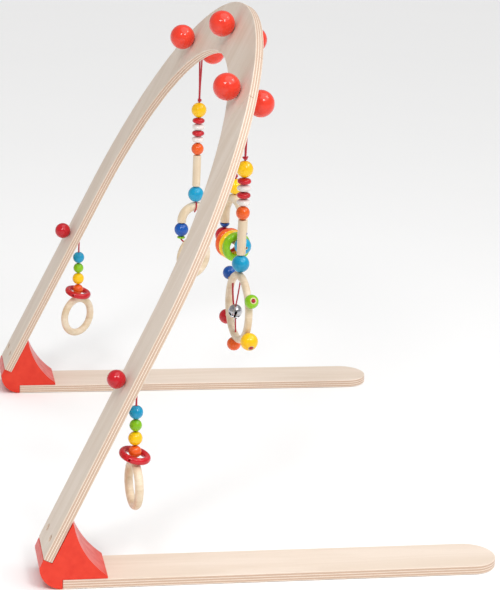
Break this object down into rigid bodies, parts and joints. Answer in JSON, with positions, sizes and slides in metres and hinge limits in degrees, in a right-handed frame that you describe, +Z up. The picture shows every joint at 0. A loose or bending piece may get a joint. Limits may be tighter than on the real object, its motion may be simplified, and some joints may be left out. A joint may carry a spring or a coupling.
{
  "type": "wooden activity play gym",
  "caption": "Wooden baby play gym: a leaning round-topped plywood arch on long foot boards, with bead strings, grasp rings, a bead wheel with a bell and ring toys hanging from it.",
  "frame": {"origin": "on the floor, under the middle of the whole gym's box", "axes": "+X the way the foot boards point and the arch leans, +Y to the gym's left, +Z up; millimetres in the source, metres here"},
  "size_m": [0.5, 0.676, 0.5611],
  "materials": {
    "plywood": "sanded birch plywood, clear matt lacquer",
    "natural_wood": "sanded beech, clear satin lacquer",
    "red_lacquer": "satin paint on wood",
    "crimson_lacquer": "gloss paint on wood",
    "yellow_lacquer": "gloss paint on wood",
    "orange_lacquer": "gloss paint on wood",
    "green_lacquer": "gloss paint on wood",
    "sky_blue_lacquer": "gloss paint on wood",
    "deep_blue_lacquer": "gloss paint on wood",
    "white_lacquer": "satin paint on wood",
    "red_cord": "braided polyester cord",
    "bell_metal": "nickel-plated, bright",
    "steel": "zinc-plated"
  },
  "bodies": {
    "frame": {"arch_top": "plywood", "leg_left": "plywood", "leg_right": "plywood", "leg_screw_left_outer": "steel", "leg_screw_left_inner": "steel", "leg_screw_right_outer": "steel", "leg_screw_right_inner": "steel", "bolt_left": "steel", "bolt_centre": "steel", "bolt_right": "steel", "knob_left_back": "red_lacquer", "knob_centre_back": "red_lacquer", "knob_right_back": "red_lacquer", "side_knob_left": "crimson_lacquer", "side_knob_right": "crimson_lacquer", "block_left": "red_lacquer", "block_right": "red_lacquer", "foot_left": "plywood", "foot_right": "plywood", "foot_screw_left_rear": "steel", "foot_screw_left_front": "steel", "foot_screw_right_rear": "steel", "foot_screw_right_front": "steel"},
    "front_knob_left": {"knob_left_front": "red_lacquer"},
    "loop_left": {"cord_left": "red_cord"},
    "front_knob_centre": {"knob_centre_front": "red_lacquer"},
    "loop_centre": {"cord_centre": "red_cord"},
    "front_knob_right": {"knob_right_front": "red_lacquer"},
    "loop_right": {"cord_right": "red_cord"},
    "string_left": {"yellow_bead_left": "yellow_lacquer", "bead_stack_left": "crimson_lacquer", "rod_bead_left": "natural_wood", "blue_bead_left": "sky_blue_lacquer"},
    "string_right": {"yellow_bead_right": "yellow_lacquer", "bead_stack_right": "crimson_lacquer", "rod_bead_right": "natural_wood", "blue_bead_right": "sky_blue_lacquer"},
    "string_centre": {"yellow_bead_centre": "yellow_lacquer", "bow_centre": "natural_wood"},
    "bow_left": {"bow_left": "natural_wood", "pendant_front": "deep_blue_lacquer", "pendant_rear": "deep_blue_lacquer"},
    "grasp_ring_left": {"grasp_ring_left": "natural_wood"},
    "ring_axle": {"ring_axle": "natural_wood"},
    "toy_ring_orange": {"toy_ring_orange": "orange_lacquer"},
    "toy_ring_yellow": {"toy_ring_yellow": "yellow_lacquer"},
    "toy_ring_green": {"toy_ring_green": "green_lacquer"},
    "bead_wheel": {"bead_wheel": "natural_wood"},
    "bell": {"bell": "bell_metal", "bell_cord": "red_cord"},
    "side_string_left": {"side_beads_left": "yellow_lacquer", "cord_side_left": "red_cord"},
    "red_ring_left": {"red_ring_left": "crimson_lacquer"},
    "grasp_ring_side_left": {"grasp_ring_side_left": "natural_wood"},
    "side_string_right": {"side_beads_right": "yellow_lacquer", "cord_side_right": "red_cord"},
    "red_ring_right": {"red_ring_right": "crimson_lacquer"},
    "grasp_ring_side_right": {"grasp_ring_side_right": "natural_wood"}
  },
  "joints": [
    {"name": "front_knob_left_turn", "type": "hinge", "parent": "frame", "child": "front_knob_left", "pos_m": [-0.02892, 0.15991, 0.49077], "axis": [0.9033, 0, -0.4289], "continuous": true},
    {"name": "loop_left_sway", "type": "hinge", "parent": "frame", "child": "loop_left", "pos_m": [-0.02892, 0.15991, 0.49077], "axis": [0.9033, 0, -0.4289], "range_deg": [-20, 20]},
    {"name": "front_knob_centre_turn", "type": "hinge", "parent": "frame", "child": "front_knob_centre", "pos_m": [-0.0088, 0, 0.53314], "axis": [0.9033, 0, -0.4289], "continuous": true},
    {"name": "loop_centre_sway", "type": "hinge", "parent": "frame", "child": "loop_centre", "pos_m": [-0.0088, 0, 0.53314], "axis": [0.9033, 0, -0.4289], "range_deg": [-20, 20]},
    {"name": "front_knob_right_turn", "type": "hinge", "parent": "frame", "child": "front_knob_right", "pos_m": [-0.02892, -0.15991, 0.49077], "axis": [0.9033, 0, -0.4289], "continuous": true},
    {"name": "loop_right_sway", "type": "hinge", "parent": "frame", "child": "loop_right", "pos_m": [-0.02892, -0.15991, 0.49077], "axis": [0.9033, 0, -0.4289], "range_deg": [-20, 20]},
    {"name": "string_left_swing", "type": "hinge", "parent": "loop_left", "child": "string_left", "pos_m": [-0.01871, 0.15991, 0.419], "axis": [0, 1, 0], "range_deg": [-20, 20]},
    {"name": "string_centre_swing", "type": "hinge", "parent": "loop_centre", "child": "string_centre", "pos_m": [0.00141, 0, 0.361], "axis": [0, 1, 0], "range_deg": [-20, 20]},
    {"name": "string_right_swing", "type": "hinge", "parent": "loop_right", "child": "string_right", "pos_m": [-0.01871, -0.15991, 0.419], "axis": [0, 1, 0], "range_deg": [-20, 20]},
    {"name": "bow_left_turn", "type": "hinge", "parent": "string_left", "child": "bow_left", "pos_m": [-0.01871, 0.15991, 0.2901], "axis": [0, 0, 1], "range_deg": [-60, 60]},
    {"name": "grasp_ring_left_swing", "type": "hinge", "parent": "bow_left", "child": "grasp_ring_left", "pos_m": [-0.01871, 0.15991, 0.2439], "axis": [0.8192, 0.5736, 0], "range_deg": [-20, 20]},
    {"name": "ring_axle_swing", "type": "hinge", "parent": "string_centre", "child": "ring_axle", "pos_m": [0.00141, 0, 0.2982], "axis": [0.2756, -0.9613, 0], "range_deg": [-12, 12]},
    {"name": "toy_ring_orange_spin", "type": "hinge", "parent": "ring_axle", "child": "toy_ring_orange", "pos_m": [-0.00119, 0.00904, 0.2781], "axis": [0.2756, -0.9613, 0], "continuous": true},
    {"name": "toy_ring_yellow_spin", "type": "hinge", "parent": "ring_axle", "child": "toy_ring_yellow", "pos_m": [0.00141, 0, 0.2781], "axis": [0.2756, -0.9613, 0], "continuous": true},
    {"name": "toy_ring_green_spin", "type": "hinge", "parent": "ring_axle", "child": "toy_ring_green", "pos_m": [0.004, -0.00904, 0.2781], "axis": [0.2756, -0.9613, 0], "continuous": true},
    {"name": "bead_wheel_turn", "type": "hinge", "parent": "string_right", "child": "bead_wheel", "pos_m": [-0.01871, -0.15991, 0.2901], "axis": [0, 0, 1], "range_deg": [-90, 90]},
    {"name": "bell_swing", "type": "hinge", "parent": "bead_wheel", "child": "bell", "pos_m": [-0.01842, -0.1621, 0.28172], "axis": [0.0195, -0.1465, 0.989], "range_deg": [-45, 45]},
    {"name": "side_string_left_swing", "type": "hinge", "parent": "frame", "child": "side_string_left", "pos_m": [-0.15162, 0.2994, 0.20764], "axis": [0, 1, 0], "range_deg": [-20, 10]},
    {"name": "red_ring_left_spin", "type": "hinge", "parent": "side_string_left", "child": "red_ring_left", "pos_m": [-0.1488, 0.2994, 0.132], "axis": [0.1908, -0.1026, 0.9762], "continuous": true},
    {"name": "grasp_ring_side_left_swing", "type": "hinge", "parent": "side_string_left", "child": "grasp_ring_side_left", "pos_m": [-0.1488, 0.2994, 0.1229], "axis": [0.7986, 0.6018, 0], "range_deg": [-10, 10]},
    {"name": "side_string_right_swing", "type": "hinge", "parent": "frame", "child": "side_string_right", "pos_m": [-0.15162, -0.2994, 0.20764], "axis": [0, 1, 0], "range_deg": [-20, 10]},
    {"name": "red_ring_right_spin", "type": "hinge", "parent": "side_string_right", "child": "red_ring_right", "pos_m": [-0.1488, -0.2994, 0.132], "axis": [0.225, -0.1018, 0.969], "continuous": true},
    {"name": "grasp_ring_side_right_swing", "type": "hinge", "parent": "side_string_right", "child": "grasp_ring_side_right", "pos_m": [-0.1488, -0.2994, 0.1229], "axis": [-0.1201, 0.9928, 0], "range_deg": [-10, 10]}
  ]
}
